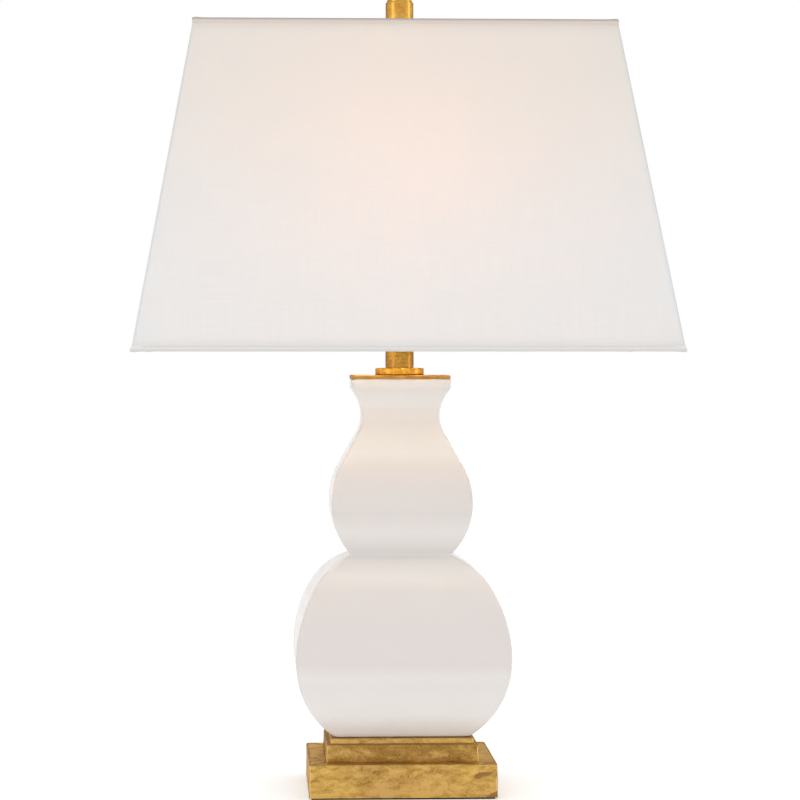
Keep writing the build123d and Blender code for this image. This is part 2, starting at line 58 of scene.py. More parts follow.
def each(sizeInMm):
    return 1 / (sizeInMm * mm)  # texture scale for a pattern of that size


def addNode(tree, kind, inputs=None, **settings):
    # an input is linked where a socket is given for it, else set
    made = tree.nodes.new("ShaderNode" + kind)
    for key, value in settings.items():
        setattr(made, key, value)
    for key, value in (inputs or {}).items():
        if isinstance(value, bpy.types.NodeSocket):
            tree.links.new(value, made.inputs[key])
        else:
            made.inputs[key].default_value = value
    return made


def span(low, high, toLow=0.0, toHigh=1.0):
    # a map range's settings: from low..high to toLow..toHigh
    return {"From Min": low, "From Max": high, "To Min": toLow, "To Max": toHigh}


def newMaterial(name):
    material = bpy.data.materials.new(name)
    material.use_nodes = True
    tree = material.node_tree
    return material, tree, tree.nodes["Principled BSDF"]


def directlySeen(tree):
    # 1 for the camera and for what it sees in a reflection or through glass, else 0
    path = addNode(tree, "LightPath")
    seen = path.outputs["Is Camera Ray"]
    for way in ("Is Glossy Ray", "Is Transmission Ray"):
        seen = addNode(tree, "Math", {0: seen, 1: path.outputs[way]}, operation="MAXIMUM").outputs[0]
    return seen


def smoothstep(value, low, high):
    share = min(max((value - low) / (high - low), 0), 1)
    return share * share * (3 - 2 * share)


def meshPiece(name, points, faces, materials, body, faceSlots=None, uvs=None, attributes=None,
              crease=None):
    # crease is the angle in degrees past which an edge stays sharp
    mesh = bpy.data.meshes.new(name)
    mesh.from_pydata([tuple(p) for p in points], [], faces)
    for material in materials:
        mesh.materials.append(material)
    mesh.polygons.foreach_set("use_smooth", [True] * len(faces))
    if faceSlots:
        mesh.polygons.foreach_set("material_index", faceSlots)
    if uvs:
        layer = mesh.uv_layers.new(name="cloth")
        for loop in mesh.loops:
            layer.data[loop.index].uv = uvs[loop.vertex_index]
    for key, values in (attributes or {}).items():
        mesh.attributes.new(key, "FLOAT", "POINT").data.foreach_set("value", values)
    if crease:
        mesh.set_sharp_from_angle(angle=math.radians(crease))
    mesh.update()
    piece = bpy.data.objects.new(name, mesh)
    scene.collection.objects.link(piece)
    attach(piece, body)
    return piece


def dress(material, *nodeNames):
    # a CAD node whose shape is right keeps it and gets a finish
    for name in nodeNames:
        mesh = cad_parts[name].data
        mesh.materials.clear()
        mesh.materials.append(material)


def rectangleLoop(halfX, halfY, corner, longSteps, shortSteps, cornerSteps):
    # a rounded rectangle, anticlockwise from the front left: point, outward direction, distance to a corner
    loop = []
    sides = [(halfX, halfY, longSteps), (halfY, halfX, shortSteps)] * 2
    for side, (along, out, steps) in enumerate(sides):
        turn = Matrix.Rotation(side * math.pi / 2, 2)
        reach = along - corner
        for step in range(steps):
            place = -reach + 2 * reach * step / steps
            loop.append((turn @ Vector((place, -out)), turn @ Vector((0, -1)), reach - abs(place)))
        for step in range(cornerSteps):
            angle = math.pi / 2 * step / cornerSteps
            way = Vector((math.sin(angle), -math.cos(angle)))
            loop.append((turn @ (Vector((reach, corner - out)) + way * corner), turn @ way, 0))
    return loop


def ringFaces(rings, perRing):
    # faces that join each ring to the next, and the last ring to the first
    faces = []
    for ring in range(rings):
        low, high = ring * perRing, (ring + 1) % rings * perRing
        for k in range(perRing):
            after = (k + 1) % perRing
            faces.append((low + k, low + after, high + after, high + k))
    return faces


def holeRing(ring, radius, height):
    # the edge of a round hole, with its points on the same rays from the axis as a ring's
    return [(spot.xy.normalized() * radius).to_3d() + Vector((0, 0, height)) for spot in ring]


def resample(profile, spacing):
    # points at an even spacing along a profile of (half width, height)
    spots = [profile[0]]
    left = spacing
    for start, end in zip(profile, profile[1:]):
        run = (end - start).length
        done = 0
        while run - done >= left:
            done += left
            spots.append(start.lerp(end, done / run))
            left = spacing
        left -= run - done
    spots.append(profile[-1])
    return spots


def soften(profile, passes):
    # eases corners by averaging each point with its neighbours, the ends stay
    for _ in range(passes):
        inner = [(a + 2 * b + c) / 4 for a, b, c in zip(profile, profile[1:], profile[2:])]
        profile = [profile[0]] + inner + [profile[-1]]
    return profile


def arcPoints(start, end, heading, steps=40):
    # the arc that leaves start along heading and reaches end
    chord = end - start
    half = cmath.phase(chord / heading)
    points = []
    for step in range(steps + 1):
        turn = half * step / steps
        points.append(start + heading * cmath.rect(abs(chord) * math.sin(turn) / math.sin(half), turn))
    return points


# Camera: level, a little to the left of the lamp, with a long lens

camera = {
    "away": 2.240,  # from the lamp's axis, along Y
    "left": 0.126,
    "height": 0.3778,
    "lens": 116.8,
    "turn": 2.2,  # degrees to the right, towards the lamp
    "axisPixel": 399.5,  # where the lamp's axis stands in the picture
    "horizonPixel": 350,
    "picture": 800,
}


def placeCamera(c):
    data = bpy.data.cameras.new("camera")
    data.lens = c["lens"]
    data.sensor_width = 36
    pixels = c["lens"] / data.sensor_width * c["picture"]
    beside = math.tan(math.atan(c["left"] / c["away"]) - math.radians(c["turn"])) * pixels
    centre = c["picture"] / 2
    data.shift_x = (centre + beside - c["axisPixel"]) / c["picture"]
    data.shift_y = (c["horizonPixel"] - centre) / c["picture"]
    made = bpy.data.objects.new("camera", data)
    made.location = (-c["left"], -c["away"], c["height"])
    made.rotation_euler = (math.radians(90), 0, -math.radians(c["turn"]))
    scene.collection.objects.link(made)
    scene.camera = made


placeCamera(camera)
print("camera: placed")


# Stage: a pale floor, white all round, soft lights at the sides

stage = {
    "floorHalf": 60.0,
    "floorColour": "#F4F4F3",
    "floorLift": 0.3,  # what the floor adds for the camera, so that it ends in white
    "roller": 9,  # mm
    "roomLight": (0.47, 1.0),  # soft, at the horizon and from straight above
    "lights": [
        # name, place, size, watts, colour, whether it shows in reflections
        ("keyLeft", (-1.75, -1.05, 0.7), (0.8, 1.3), 4.2, "#FEFEFF", True),
        ("fillRight", (2.0, -0.25, 0.7), (0.6, 1.3), 4.0, "#FFFEFC", True),
        ("frontLow", (0.2, -2.4, 0.25), (1.6, 0.45), 7.5, "#FCFDFF", False),
    ],
    "aim": (0, 0, 0.30),
}


def makeStage(s):
    half = s["floorHalf"]
    mesh = bpy.data.meshes.new("floor")
    corners = [(-half, -half, 0), (half, -half, 0), (half, half, 0), (-half, half, 0)]
    mesh.from_pydata(corners, [], [(0, 1, 2, 3)])
    floor = bpy.data.objects.new("floor", mesh)
    scene.collection.objects.link(floor)

    # painted board: pale and matt, with a faint roller texture, lifted to white for the camera
    material, tree, bsdf = newMaterial("paintedBoard")
    coords = addNode(tree, "TexCoord")
    roller = addNode(tree, "TexNoise", {"Vector": coords.outputs["Object"], "Scale": each(s["roller"]),
                                        "Detail": 3})
    bump = addNode(tree, "Bump", {"Height": roller.outputs["Fac"], "Strength": 0.05, "Distance": 0.1 * mm})
    tree.links.new(bump.outputs["Normal"], bsdf.inputs["Normal"])
    bsdf.inputs["Base Color"].default_value = linear(s["floorColour"])
    bsdf.inputs["Roughness"].default_value = 0.9
    bsdf.inputs["Specular IOR Level"].default_value = 0.1
    lift = addNode(tree, "Math", {0: directlySeen(tree), 1: s["floorLift"]}, operation="MULTIPLY")
    glow = addNode(tree, "Emission", {"Color": (1, 1, 1, 1), "Strength": lift.outputs[0]})
    total = addNode(tree, "AddShader", {0: bsdf.outputs[0], 1: glow.outputs[0]})
    tree.links.new(total.outputs[0], tree.nodes["Material Output"].inputs["Surface"])
    mesh.materials.append(material)

    # the world is white to the camera and to reflections, and a soft light to the rest
    world = bpy.data.worlds.new("whiteRoom")
    world.use_nodes = True
    scene.world = world
    tree = world.node_tree
    height = addNode(tree, "SeparateXYZ", {0: addNode(tree, "TexCoord").outputs["Generated"]})
    soft = addNode(tree, "MapRange", {"Value": height.outputs["Z"], **span(0, 1, *s["roomLight"])})
    level = addNode(tree, "Mix", {0: directlySeen(tree), 2: soft.outputs[0], 3: 1.0})
    back = tree.nodes["Background"]
    back.inputs["Color"].default_value = (1, 1, 1, 1)
    tree.links.new(level.outputs[0], back.inputs["Strength"])

    for name, place, size, watts, colour, mirrored in s["lights"]:
        data = bpy.data.lights.new(name, "AREA")
        data.shape = "RECTANGLE"
        data.size, data.size_y = size
        data.energy = watts
        data.color = linear(colour)[:3]
        light = bpy.data.objects.new(name, data)
        light.location = place
        light.visible_glossy = mirrored
        light.rotation_euler = (Vector(s["aim"]) - Vector(place)).to_track_quat("-Z", "Y").to_euler()
        scene.collection.objects.link(light)


makeStage(stage)
scene.view_settings.view_transform = "Standard"
print("stage: floor, white room and lights")


# Glazed ceramic body

glaze = {
    "white": "#E8E2E0", "pale": "#ECE9E7", "paintedShadeTone": "#E4DEDC", "foot": "#FEFCFD",
    "thick": "#FCFBF9",  # a tint where the glaze lies thicker
    # painted light and shade in soft bands: the room's reflections, the lit neck, shade at the waist and a
    # lighter foot against the shade there; from one height in mm down to the other, its tone turns to the
    # named one
    "paintedLightBands": [(345, 341, "pale"), (331, 326, "white"), (316, 300, "pale"), (290, 278, "paintedShadeTone"),
              (238, 224, "pale"), (190, 174, "paintedShadeTone"), (115, 104, "pale"), (95, 54, "foot")],
    "pit": "#B9A899",
    "cloud": 90, "pinhole": 14, "peel": 5,  # mm, the last for the ripples of the fired glaze
    "pinholeEdge": (0.025, 0.045),  # shares of the pinholes' spacing, between which a pit fades out
    "roughness": (0.22, 0.25),
}


def glazedCeramic(g):
    # slip-cast ceramic under a fired white glaze: clear soft reflections over a warm white body
    material, tree, bsdf = newMaterial("glazedCeramic")
    coords = addNode(tree, "TexCoord").outputs["Object"]
    cloud = addNode(tree, "TexNoise", {"Vector": coords, "Scale": each(g["cloud"]), "Detail": 1,
                                       "Roughness": 0.4})
    tone = linear(g["white"])
    height = addNode(tree, "SeparateXYZ", {0: coords})
    # painted light and shade: the tone steps through the listed bands down the body
    for top, bottom, toneName in g["paintedLightBands"]:
        paintedBand = addNode(tree, "MapRange", {"Value": height.outputs["Z"], **span(top * mm, bottom * mm)})
        mixed = addNode(tree, "Mix", {0: paintedBand.outputs[0], 6: tone, 7: linear(g[toneName])}, data_type="RGBA")
        tone = mixed.outputs[2]
    tone = addNode(tree, "Mix", {0: cloud.outputs["Fac"], 6: tone, 7: linear(g["thick"])}, data_type="RGBA",
                   blend_type="MULTIPLY")
    # rare pinholes, a little darker
    pits = addNode(tree, "TexVoronoi", {"Vector": coords, "Scale": each(g["pinhole"])})
    pit = addNode(tree, "MapRange", {"Value": pits.outputs["Distance"], **span(*g["pinholeEdge"], 0.2, 0)})
    colour = addNode(tree, "Mix", {0: pit.outputs[0], 6: tone.outputs[2], 7: linear(g["pit"])},
                     data_type="RGBA")
    tree.links.new(colour.outputs[2], bsdf.inputs["Base Color"])
    gloss = addNode(tree, "MapRange", {"Value": cloud.outputs["Fac"], **span(0.3, 0.7, *g["roughness"])})
    tree.links.new(gloss.outputs[0], bsdf.inputs["Roughness"])
    bsdf.inputs["IOR"].default_value = 1.5
    bsdf.inputs["Coat Weight"].default_value = 0.25
    bsdf.inputs["Coat Roughness"].default_value = 0.14
    peel = addNode(tree, "TexNoise", {"Vector": coords, "Scale": each(g["peel"]), "Detail": 2})
    bump = addNode(tree, "Bump", {"Height": peel.outputs["Fac"], "Strength": 0.08, "Distance": 0.12 * mm})
    tree.links.new(bump.outputs["Normal"], bsdf.inputs["Normal"])
    return material


# Gourd: the CAD body's outline in mm, fuller low down, with eased corners and a casting's slight unevenness

gourd = {
    "footWidth": 114.2, "bellyWidth": 181.4, "shoulderWidth": 149.4, "waistWidth": 85.5,
    "upperBellyWidth": 120.4, "throatWidth": 67.2, "lipWidth": 86.0,
    "bellyHeight": 68.3, "shoulderHeight": 127.2, "waistHeight": 153.5, "upperBellyHeight": 198.7,
    "throatHeight": 272.2, "lipHeight": 295.7, "height": 303.8,
    "neckSlope": 28.5, "neckBulbShare": 0.67,  # degrees at its steepest, the bulb's share of its curves
    "widthOverDepth": 31.8,
    "corner": 2.8,  # rounding of the mitred corners
    "spacing": 1.0,
    "easing": 4, "lipEasing": 8,
    "underside": 8.0,  # how far the faces at foot and rim run inwards
    "unevenness": 0.22, "unevenSize": 60,
    "steps": (28, 20, 7),  # points along a long side, a short side and a corner
    "wall": 6.0, "hole": 9.0,  # the hollow, and the pipe's way in and out
    "coreStep": 4,  # the inside has one ring for so many outside
    "crease": 50,  # degrees
}


def gourdProfile(g):
    def point(width, height):
        return complex(g[width] / 2, g[height] if isinstance(height, str) else height)

    up, down = 1j, -1j
    foot, rim = point("footWidth", 0), point("lipWidth", "height")
    belly, shoulder = point("bellyWidth", "bellyHeight"), point("shoulderWidth", "shoulderHeight")
    waist, upperBelly = point("waistWidth", "waistHeight"), point("upperBellyWidth", "upperBellyHeight")
    throat, lip = point("throatWidth", "throatHeight"), point("lipWidth", "lipHeight")
    flankEnd = ((shoulder - belly) / abs(shoulder - belly)) ** 2 / up  # heading where the flank ends
    rise, shift = math.sin(math.radians(g["neckSlope"])), 1 - math.cos(math.radians(g["neckSlope"]))
    climb = throat - upperBelly
    radii = (climb.imag * rise + climb.real * (1 - shift)) / shift
    runStart = upperBelly + complex(-shift, rise) * radii * g["neckBulbShare"]
    runEnd = throat + complex(shift, -rise) * radii * (1 - g["neckBulbShare"])
    inwards = complex(g["underside"], 0)
    spots = [foot - inwards]
    spots += arcPoints(belly, foot, down)[::-1]
    spots += arcPoints(belly, shoulder, up)[1:]
    spots += arcPoints(shoulder, waist, flankEnd)[1:]
    spots += arcPoints(upperBelly, waist, down)[::-1][1:]
    spots += arcPoints(upperBelly, runStart, up)[1:]
    spots += arcPoints(throat, runEnd, down)[::-1]
    spots += arcPoints(throat, lip, up)[1:]
    spots += [rim, rim - inwards]
    return [Vector((spot.real, spot.imag)) for spot in spots]


def gourdRing(half, height, g):
    ring = []
    for spot, out, _ in rectangleLoop(half, half - g["widthOverDepth"] / 2, g["corner"], *g["steps"]):
        place = Vector((spot.x, spot.y, height))
        sway = noise.noise(place / g["unevenSize"]) * g["unevenness"]
        ring.append(place + out.to_3d() * sway)
    return ring


def makeGourd(g, material):
    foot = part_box("gourd_body")[0].z
    profile = resample(gourdProfile(g), g["spacing"])
    flank = [spot for spot in profile if g["throatHeight"] < spot.y < g["height"] - g["spacing"]]
    start = profile.index(flank[0])
    profile[start:start + len(flank)] = soften(flank, g["lipEasing"])
    profile = soften(profile, g["easing"])
    rings = [gourdRing(half, height, g) for half, height in profile]
    perRing = len(rings[0])
    ceiling = g["height"] - g["wall"]
    rings += [holeRing(rings[-1], g["hole"], height) for height in (g["height"], ceiling)]
    for half, height in profile[::-g["coreStep"]]:
        if g["wall"] < height < ceiling:
            rings.append(gourdRing(half - g["wall"], height, g))
    rings += [holeRing(rings[0], g["hole"], height) for height in (g["wall"], 0)]
    points = [spot * mm + Vector((0, 0, foot)) for ring in rings for spot in ring]
    faces = ringFaces(len(rings), perRing)
    piece = meshPiece("ceramic_gourd", points, faces, [material], "lamp_stand", crease=g["crease"])
    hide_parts("gourd_body")


makeGourd(gourd, glazedCeramic(glaze))
print("gourd: made")


# Gilded plinth

gilding = {
    "bright": "#D2AB5E", "rosy": "#C79E60", "deep": "#9E783B", "brown": "#84602E", "pale": "#E8C67E",
    "bole": "#AC8149", "darkBole": "#8F6938",  # the red-brown clay under the leaf, dusted by handling
    "edgeTint": "#E6D3B4",  # what the metal turns to at a grazing look
    "cloud": 34, "patch": 6.5, "brush": 5, "speck": 1.6,  # mm
    "stretch": 0.45,  # brush marks run along the blocks, so the pattern is squeezed that way
    "offset": (0.05, 0.02, 0.0),  # metres, which part of the endless pattern falls on the blocks
    "toned": 0.14,  # how much deeper the leaf is where a face was toned
    # between which values of a pattern each effect comes in, and from what to what where that isn't 0 to 1
    "brightSpan": (0.62, 0.88), "rosySpan": (0.42, 0.6), "brownSpan": (0.30, 0.44, 0, 0.6),
    "fleckSpan": (0.56, 0.66, 0, 0.5), "burnishAndHighlightSpan": (0.38, 0.56), "claySpan": (0.95, 1.03),
    "roughSpan": (0.1, 0.4, 0.32, 0.55),
    "clayMetal": 0.3, "clayRough": 0.3,  # how metallic bare clay still is, and how much rougher
}


def goldLeaf(g):
    # loose gold leaf on bole, rubbed and toned: mottled satin metal, clay showing at edges and in patches
    material, tree, bsdf = newMaterial("goldLeaf")
    coords = addNode(tree, "TexCoord").outputs["Object"]
    along = addNode(tree, "Mapping", {"Vector": coords, "Scale": (g["stretch"], g["stretch"], 1),
                                      "Location": g["offset"]}).outputs[0]
    cloud = addNode(tree, "TexNoise", {"Vector": along, "Scale": each(g["cloud"]), "Detail": 3})
    patch = addNode(tree, "TexNoise", {"Vector": along, "Scale": each(g["patch"]), "Detail": 8,
                                       "Roughness": 0.66, "Distortion": 0.5})
    speck = addNode(tree, "TexNoise", {"Vector": coords, "Scale": each(g["speck"]), "Detail": 3,
                                       "Roughness": 0.6})
    brush = addNode(tree, "TexNoise", {"Vector": along, "Scale": each(g["brush"]), "Detail": 7,
                                       "Roughness": 0.7, "Distortion": 0.4})
    # the leaf is bright or deep in patches, deeper where a face was toned
    toning = addNode(tree, "Attribute", attribute_name="toning")
    mottle = addNode(tree, "Math", {0: cloud.outputs["Fac"], 1: 0.6, 2: patch.outputs["Fac"]},
                     operation="MULTIPLY_ADD")
    mottle = addNode(tree, "Math", {0: toning.outputs["Fac"], 1: -g["toned"], 2: mottle.outputs[0]},
                     operation="MULTIPLY_ADD")
    tone = addNode(tree, "MapRange", {"Value": mottle.outputs[0], **span(*g["brightSpan"])})
    blush = addNode(tree, "MapRange", {"Value": cloud.outputs["Color"], **span(*g["rosySpan"])})
    shine = addNode(tree, "Mix", {0: blush.outputs[0], 6: linear(g["bright"]), 7: linear(g["rosy"])},
                    data_type="RGBA")
    leaf = addNode(tree, "Mix", {0: tone.outputs[0], 6: linear(g["deep"]), 7: shine.outputs[2]},
                   data_type="RGBA")
    # brown specks of toning wash, thickest in the deep patches
    gather = addNode(tree, "Math", {0: mottle.outputs[0], 1: -0.35, 2: speck.outputs["Fac"]},
                     operation="MULTIPLY_ADD")
    dirt = addNode(tree, "MapRange", {"Value": gather.outputs[0], **span(*g["brownSpan"])})
    toned = addNode(tree, "Mix", {0: dirt.outputs[0], 6: leaf.outputs[2], 7: linear(g["brown"])},
                    data_type="RGBA")
    # flecks where the leaf was doubled
    fleck = addNode(tree, "MapRange", {"Value": speck.outputs["Color"], **span(*g["fleckSpan"])})
    toned = addNode(tree, "Mix", {0: fleck.outputs[0], 6: toned.outputs[2], 7: linear(g["pale"])},
                    data_type="RGBA")
    # upright edges are pale in spots: partly burnished, partly a painted highlight
    rim = addNode(tree, "Attribute", attribute_name="rim")
    burnishAndHighlight = addNode(tree, "Math", {0: brush.outputs["Fac"], 1: rim.outputs["Fac"]}, operation="MULTIPLY")
    burnishAndHighlight = addNode(tree, "MapRange", {"Value": burnishAndHighlight.outputs[0], **span(*g["burnishAndHighlightSpan"])})
    burnishedAndHighlit = addNode(tree, "Mix", {0: burnishAndHighlight.outputs[0], 6: toned.outputs[2], 7: linear(g["pale"])},
                        data_type="RGBA")
    # clay shows where the wear, broken up by the brush marks, passes a threshold
    wear = addNode(tree, "Attribute", attribute_name="wear")
    ragged = addNode(tree, "Math", {0: brush.outputs["Fac"], 1: 1.1, 2: wear.outputs["Fac"]},
                     operation="MULTIPLY_ADD")
    clay = addNode(tree, "MapRange", {"Value": ragged.outputs[0], **span(*g["claySpan"])})
    earth = addNode(tree, "Mix", {0: speck.outputs["Fac"], 6: linear(g["darkBole"]), 7: linear(g["bole"])},
                    data_type="RGBA")
    colour = addNode(tree, "Mix", {0: clay.outputs[0], 6: burnishedAndHighlit.outputs[2], 7: earth.outputs[2]},
                     data_type="RGBA")
    tree.links.new(colour.outputs[2], bsdf.inputs["Base Color"])
    metal = addNode(tree, "MapRange", {"Value": clay.outputs[0], **span(0, 1, 1, g["clayMetal"])})
    tree.links.new(metal.outputs[0], bsdf.inputs["Metallic"])
    bsdf.inputs["Specular Tint"].default_value = linear(g["edgeTint"])
    rough = addNode(tree, "MapRange", {"Value": gather.outputs[0], **span(*g["roughSpan"])})
    matt = addNode(tree, "Math", {0: clay.outputs[0], 1: g["clayRough"], 2: rough.outputs[0]},
                   operation="MULTIPLY_ADD")
    tree.links.new(matt.outputs[0], bsdf.inputs["Roughness"])
    uneven = addNode(tree, "Math", {0: brush.outputs["Fac"], 1: 2.0, 2: speck.outputs["Fac"]},
                     operation="MULTIPLY_ADD")
    bump = addNode(tree, "Bump", {"Height": uneven.outputs[0], "Strength": 0.3, "Distance": 0.35 * mm})
    tree.links.new(bump.outputs["Normal"], bsdf.inputs["Normal"])
    return material


plinth = {
    "corner": 0.9, "spacing": 1.0, "easing": 2,
    "wearReach": 2.2, "rimReach": 1.6,  # mm from an edge
    "unevenness": 0.30, "unevenSize": 22, "topEvenness": 0.7,  # how much flatter the upward faces are
    "chip": 0.6, "chipSize": 7, "chipOffset": (3, 7, 1),
    "crease": 50,  # degrees
    # how much clay shows at edges, and how much more on upward faces and on the faces towards ±X
    "edgeWear": 0.26, "upwardClay": 0.30, "sidewaysClay": 0.24,
    "widthOverDepth": 31.8,
    "blockTop": 44.2, "batter": 0.8, "setback": 3.6,  # the upper block and its thin top tier
    "steps": (78, 62, 6),  # points along a long side, a short side and a corner
    "topEnd": 50.0,  # half the width where the finished top ends, under what stands on it
    "pipe": 4.95, "recess": 30.0, "recessTop": 19.6, "channel": 4.8,  # holes for pipe, nut and cord
    "toning": {"lower": 0.0, "upper": 1.0, "tier": -0.2},
    "tonedSpots": [  # place and reach in mm, where a face was toned deeper or left brighter
        ((-55, -63.5, 16), (20, 8, 14), 0.4),
        ((-31, -63.5, 20), (9, 8, 10), 0.6),
        ((8, -63.5, 12), (22, 8, 14), 0.5),
        ((70, -63.5, 7), (14, 8, 9), -0.5),
        # painted light: the front ledge under the upper block is left brighter, against the shade that falls
        # there
        ((0, -56, 29.6), (90, 4.5, 3), -1.2),
        ((-62, -49.5, 37), (10, 6, 8), -1.0),
        ((-32, -49.5, 37), (10, 6, 8), 0.5),
        ((64, -49.5, 37), (11, 6, 8), -0.9),
    ],
    "rubbedSpots": [  # the same where the clay shows
        ((69, -63.5, 21.5), (11, 8, 2.8), 0.55),
        ((62, -63.5, 18.8), (5, 8, 2.6), 0.5),
        ((77, -63.5, 3.0), (8, 8, 3.5), 0.6),
        ((-79, 20, 18), (8, 14, 6), 0.5),
        ((30, 63.5, 20), (14, 8, 5), 0.5),
        ((79, -5, 12), (8, 10, 5), 0.5),
    ],
}


def fromSpots(place, spots):
    # what a list of (middle, reach, amount) adds at a place
    total = 0
    for middle, reach, amount in spots:
        away = sum(((place[i] - middle[i]) / reach[i]) ** 2 for i in range(3))
        total += amount * math.exp(-away)
    return total


def gildedBlock(name, node, outline, bore, tone, p, material):
    # outline is (half width, height) in mm, going up, and bore is (radius, height), back down inside
    corners = [Vector(spot) for spot in outline[:-1]]
    profile = soften(resample([Vector(spot) for spot in outline], p["spacing"]), p["easing"])
    points, wear, toning, rim = [], [], [], []
    for k, (half, height) in enumerate(profile):
        slope = profile[min(k + 1, len(profile) - 1)] - profile[max(k - 1, 0)]
        upward = smoothstep(-slope.x / p["spacing"], 0.4, 1.4)  # 1 on the flat tops, 0 on the walls
        fromEdge = min((Vector((half, height)) - corner).length for corner in corners)
        halfDepth = half - p["widthOverDepth"] / 2
        loop = rectangleLoop(half, halfDepth, p["corner"], *p["steps"])
        for spot, out, fromCorner in loop:
            place = Vector((spot.x, spot.y, height))
            edge = math.exp(-(min(fromEdge, fromCorner) / p["wearReach"]) ** 2)
            sway = noise.noise(place / p["unevenSize"]) * p["unevenness"]
            chipped = noise.noise(place / p["chipSize"] + Vector(p["chipOffset"]))
            sway -= edge * max(chipped, 0) * p["chip"]
            rubbed = p["edgeWear"] * edge + p["upwardClay"] * upward
            rubbed += p["sidewaysClay"] * abs(out.x) * (1 - upward)
            wear.append(rubbed + fromSpots(place, p["rubbedSpots"]))
            block = smoothstep(p["blockTop"] + 1 - height, 0, 1)  # 0 on the thin tier above the upper block
            washed = tone * block + p["toning"]["tier"] * (1 - block)
            toning.append(washed + fromSpots(place, p["tonedSpots"]))
            rim.append((1 - upward) * math.exp(-(fromCorner / p["rimReach"]) ** 2))
            lift = Vector((out.x * (1 - upward), out.y * (1 - upward), upward))
            points.append((place + lift * sway * (1 - upward * p["topEvenness"])) * mm)
    perRing = len(loop)
    for radius, height in bore:
        points += holeRing(points[-perRing:], radius * mm, height * mm)
        wear += [1.0] * perRing  # bare inside
        toning += [0.0] * perRing
        rim += [0.0] * perRing
    faces = ringFaces(len(points) // perRing, perRing)
    piece = meshPiece(name, points, faces, [material], "lamp_stand",
                      attributes={"wear": wear, "toning": toning, "rim": rim}, crease=p["crease"])
    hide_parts(node)
    return piece


def boreChannel(piece, height, start, end, radius, crease, steps=48):
    # cuts a round way along Y through a wall
    turns = [2 * math.pi * k / steps for k in range(steps)]
    points = [(radius * math.cos(a), y, height + radius * math.sin(a)) for y in (start, end) for a in turns]
    faces = [(k, steps + k, steps + (k + 1) % steps, (k + 1) % steps) for k in range(steps)]
    faces += [tuple(range(steps)), tuple(reversed(range(steps, 2 * steps)))]
    mesh = bpy.data.meshes.new("drill")
    mesh.from_pydata(points, [], faces)
    drill = bpy.data.objects.new("drill", mesh)
    scene.collection.objects.link(drill)
    cut = piece.modifiers.new("channel", "BOOLEAN")
    cut.object = drill
    cut.solver = "EXACT"
    graph = bpy.context.evaluated_depsgraph_get()
    bored = bpy.data.meshes.new_from_object(piece.evaluated_get(graph), preserve_all_data_layers=True,
                                            depsgraph=graph)
    piece.modifiers.clear()
    bored.set_sharp_from_angle(angle=math.radians(crease))
    piece.data = bored
    bpy.data.objects.remove(drill)


def makePlinth(p, material):
    low, high = (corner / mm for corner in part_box("plinth_lower_block"))
    outline = [(high.x, low.z), (high.x, high.z), (p["topEnd"], high.z)]
    bore = [(p["pipe"], high.z), (p["pipe"], p["recessTop"])]
    bore += [(p["recess"], p["recessTop"]), (p["recess"], low.z)]
    lower = gildedBlock("gilded_lower_block", "plinth_lower_block", outline, bore, p["toning"]["lower"], p,
                        material)
    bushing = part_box("cord_bushing")
    axis = (bushing[0].z + bushing[1].z) / 2
    inside = (p["recess"] - p["channel"]) * mm  # starts in the recess, whose wall is round
    boreChannel(lower, axis, inside, bushing[1].y, p["channel"] * mm, p["crease"])
    low, high = (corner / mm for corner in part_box("plinth_upper_block"))
    head = high.x - p["batter"]
    tier = head - p["setback"]
    outline = [(high.x, low.z), (head, p["blockTop"]), (tier, p["blockTop"])]
    outline += [(tier, high.z), (p["topEnd"], high.z)]
    bore = [(p["pipe"], high.z), (p["pipe"], low.z)]
    gildedBlock("gilded_upper_block", "plinth_upper_block", outline, bore, p["toning"]["upper"], p,
                material)


makePlinth(plinth, goldLeaf(gilding))
print("plinth: made")


# Shade: laminated fabric panels and rolled hems

cloth = {
    "light": "#F1F6F7", "deep": "#EEF2F3",
    "paintedTopShade": "#ECEDE8",  # painted shade: darker and warmer towards the top
    "paintedShadeColour": "#B9B1AD",  # painted shade: grey where the cloth is turned over a wire, along the ribs and by the hems
    "thread": 1.1,  # mm, drawn about twice as coarse as the real cloth so that it shows
    "slub": 45,
    "through": 0.094,  # share of the light that passes
    "warm": "#FFA64E",
}
# the same cloth turned over a wire, so less light passes
hemCloth = {**cloth, "light": "#F5F5F3", "deep": "#F2F1EF", "paintedTopShade": "#F0E2D6", "through": 0.04}


